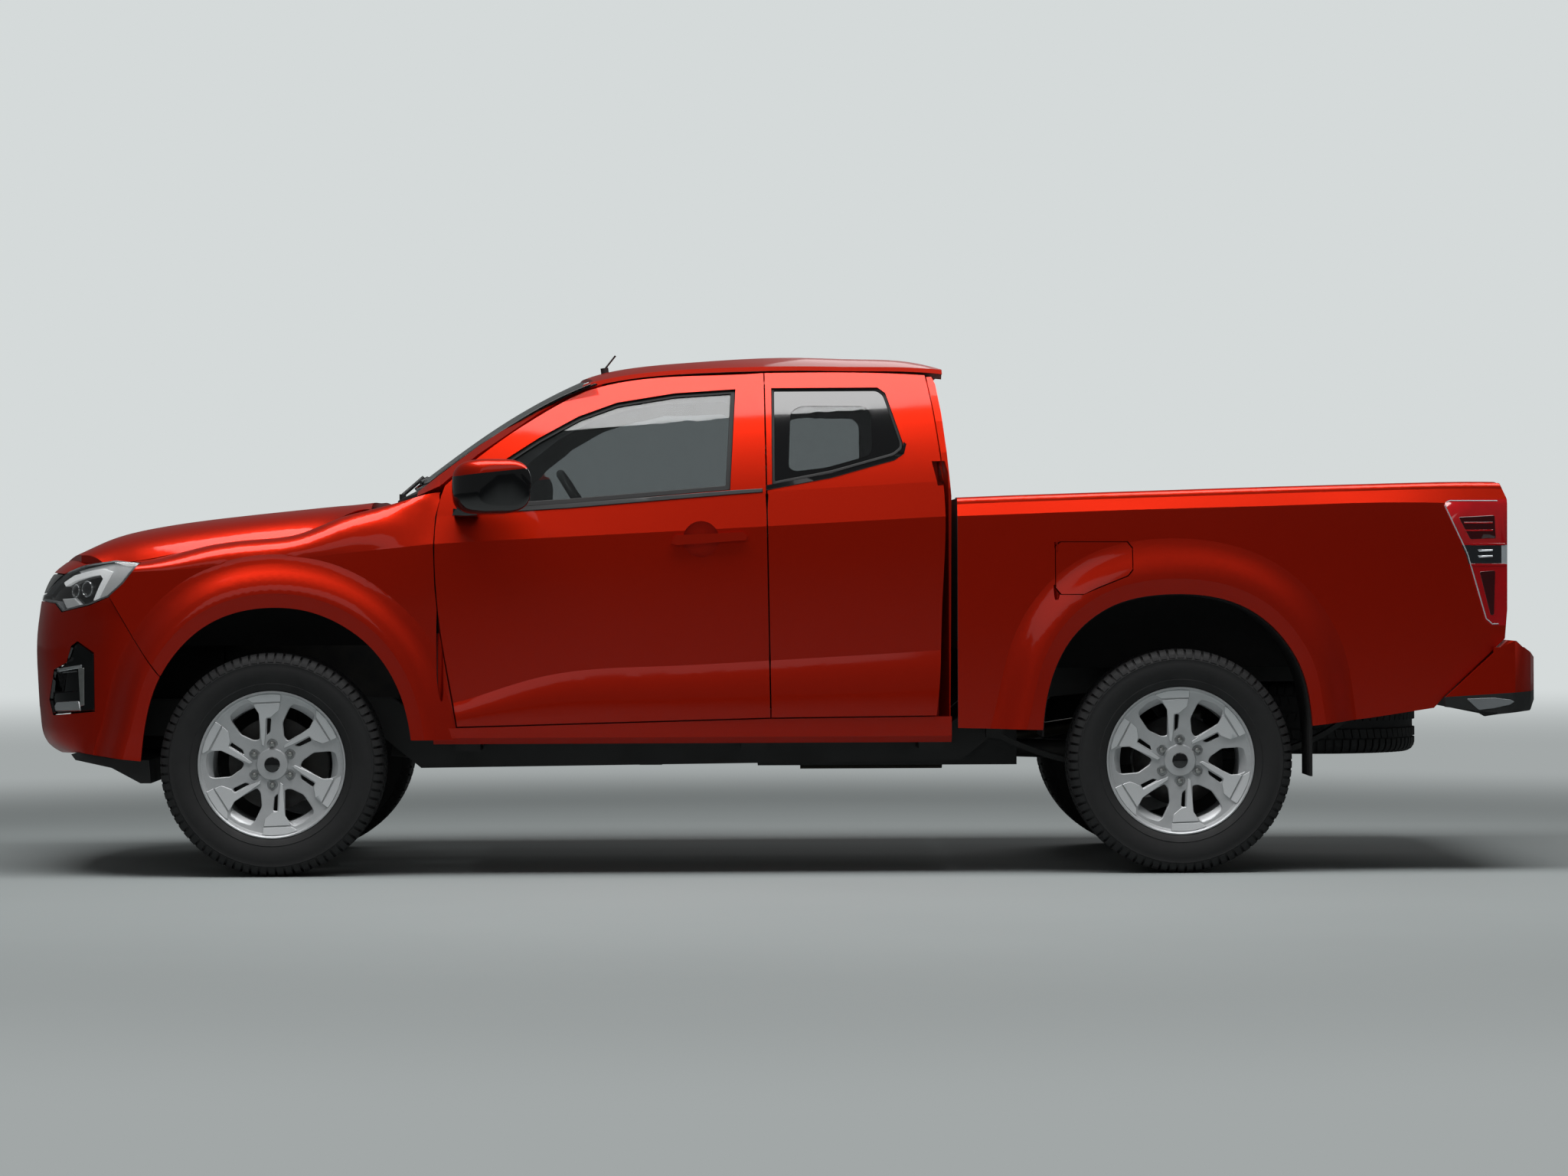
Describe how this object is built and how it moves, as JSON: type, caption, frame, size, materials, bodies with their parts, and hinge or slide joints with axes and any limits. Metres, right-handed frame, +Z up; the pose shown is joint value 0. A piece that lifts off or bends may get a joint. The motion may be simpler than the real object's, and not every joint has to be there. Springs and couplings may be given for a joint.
{
  "type": "pickup truck",
  "caption": "Road pickup with an extended cab, rear-hinged access doors, a long open load bed with drop tailgate, opening bonnet, steering front wheels and body-on-frame running gear",
  "frame": {"origin": "On the ground at the middle of the vehicle's length and width.", "axes": "The nose points to -X and the tail to +X, +Z is up, and the steering-wheel side is -Y."},
  "size_m": [5.2737, 2.112, 1.8139],
  "materials": {
    "body_paint": "gloss orange-red metallic paint",
    "black_trim": "grained black plastic",
    "gloss_black": "gloss black plastic",
    "lamp_clear": "clear lamp lens",
    "lamp_red": "red lamp lens",
    "window": "tinted window glass",
    "tyre": "black tyre rubber",
    "alloy": "machined and silver painted alloy",
    "frame_black": "black frame paint",
    "cast": "bare cast iron",
    "steel": "steel",
    "seat_cloth": "woven seat cloth",
    "rubber": "moulded rubber",
    "interior": "dark grained plastic"
  },
  "bodies": {
    "chassis": {"aerial": "black_trim", "arch_linings": "rubber", "bed_box": "body_paint", "bed_sides": "body_paint", "cab_floor": "interior", "cab_frame": "body_paint", "cowl": "black_trim", "dashboard": "interior", "engine": "cast", "exhaust": "steel", "fog_lamp_bezels": "gloss_black", "frame": "frame_black", "front_bumper": "body_paint", "front_seats": "seat_cloth", "front_suspension": "frame_black", "front_wings": "body_paint", "fuel_tank": "black_trim", "gearbox_and_shaft": "cast", "grille": "gloss_black", "headlamps": "lamp_clear", "radiator": "cast", "rear_axle": "frame_black", "rear_bench": "seat_cloth", "rear_bumper": "body_paint", "rear_step": "black_trim", "rear_suspension": "frame_black", "rear_window": "window", "spare_wheel": "tyre", "tail_lamps": "lamp_red", "valance": "black_trim", "windscreen": "window", "wipers": "black_trim"},
    "front_door_left": {"door_front_left": "body_paint", "glass_front_left": "window", "mirror_left": "gloss_black"},
    "front_door_right": {"door_front_right": "body_paint", "glass_front_right": "window", "mirror_right": "gloss_black"},
    "rear_door_left": {"door_rear_left": "body_paint", "glass_rear_left": "window"},
    "rear_door_right": {"door_rear_right": "body_paint", "glass_rear_right": "window"},
    "bonnet": {"hood": "body_paint"},
    "bed_gate": {"tailgate": "body_paint"},
    "filler_lid": {"fuel_lid": "body_paint"},
    "steering_wheel": {"steering_wheel": "interior"},
    "knuckle_left": {"knuckle_left": "cast"},
    "knuckle_right": {"knuckle_right": "cast"},
    "wheel_front_left": {"tyre_front_left": "tyre", "rim_front_left": "alloy"},
    "wheel_front_right": {"tyre_front_right": "tyre", "rim_front_right": "alloy"},
    "wheel_rear_left": {"tyre_rear_left": "tyre", "rim_rear_left": "alloy"},
    "wheel_rear_right": {"tyre_rear_right": "tyre", "rim_rear_right": "alloy"}
  },
  "joints": [
    {"name": "front_door_left_hinge", "type": "hinge", "parent": "chassis", "child": "front_door_left", "pos_m": [-1.156, -0.886, 0.9], "axis": [0, 0, -1], "range_deg": [0, 65]},
    {"name": "front_door_right_hinge", "type": "hinge", "parent": "chassis", "child": "front_door_right", "pos_m": [-1.156, 0.886, 0.9], "axis": [0, 0, 1], "range_deg": [0, 65]},
    {"name": "rear_door_left_hinge", "type": "hinge", "parent": "chassis", "child": "rear_door_left", "pos_m": [0.548, -0.898, 0.9], "axis": [0, 0, 1], "range_deg": [0, 80]},
    {"name": "rear_door_right_hinge", "type": "hinge", "parent": "chassis", "child": "rear_door_right", "pos_m": [0.548, 0.898, 0.9], "axis": [0, 0, -1], "range_deg": [0, 80]},
    {"name": "bonnet_hinge", "type": "hinge", "parent": "chassis", "child": "bonnet", "pos_m": [-1.4, 0, 1.266], "axis": [0, 1, 0], "range_deg": [0, 48]},
    {"name": "bed_gate_hinge", "type": "hinge", "parent": "chassis", "child": "bed_gate", "pos_m": [2.5, 0, 0.816], "axis": [0, 1, 0], "range_deg": [0, 90]},
    {"name": "filler_lid_hinge", "type": "hinge", "parent": "chassis", "child": "filler_lid", "pos_m": [0.9675, -0.909, 1.05], "axis": [0, 0, -1], "range_deg": [0, 90]},
    {"name": "steer_left", "type": "hinge", "parent": "chassis", "child": "knuckle_left", "pos_m": [-1.735, -0.7, 0.43], "axis": [0, 0, 1], "range_deg": [-32, 32]},
    {"name": "steer_right", "type": "hinge", "parent": "chassis", "child": "knuckle_right", "pos_m": [-1.735, 0.7, 0.43], "axis": [0, 0, 1], "range_deg": [-32, 32]},
    {"name": "steering_wheel_turn", "type": "hinge", "parent": "chassis", "child": "steering_wheel", "pos_m": [-0.661, -0.37, 1.245], "axis": [0.8387, 0, 0.5446], "range_deg": [-520, 520]},
    {"name": "wheel_front_left_spin", "type": "hinge", "parent": "knuckle_left", "child": "wheel_front_left", "pos_m": [-1.735, -0.785, 0.385], "axis": [0, -1, 0], "continuous": true},
    {"name": "wheel_rear_left_spin", "type": "hinge", "parent": "chassis", "child": "wheel_rear_left", "pos_m": [1.39, -0.785, 0.385], "axis": [0, -1, 0], "continuous": true},
    {"name": "wheel_front_right_spin", "type": "hinge", "parent": "knuckle_right", "child": "wheel_front_right", "pos_m": [-1.735, 0.785, 0.385], "axis": [0, -1, 0], "continuous": true},
    {"name": "wheel_rear_right_spin", "type": "hinge", "parent": "chassis", "child": "wheel_rear_right", "pos_m": [1.39, 0.785, 0.385], "axis": [0, -1, 0], "continuous": true}
  ],
  "couplings": [
    {"joint": "steer_right", "follows": "steer_left", "ratio": 1},
    {"joint": "steering_wheel_turn", "follows": "steer_left", "ratio": 16}
  ]
}
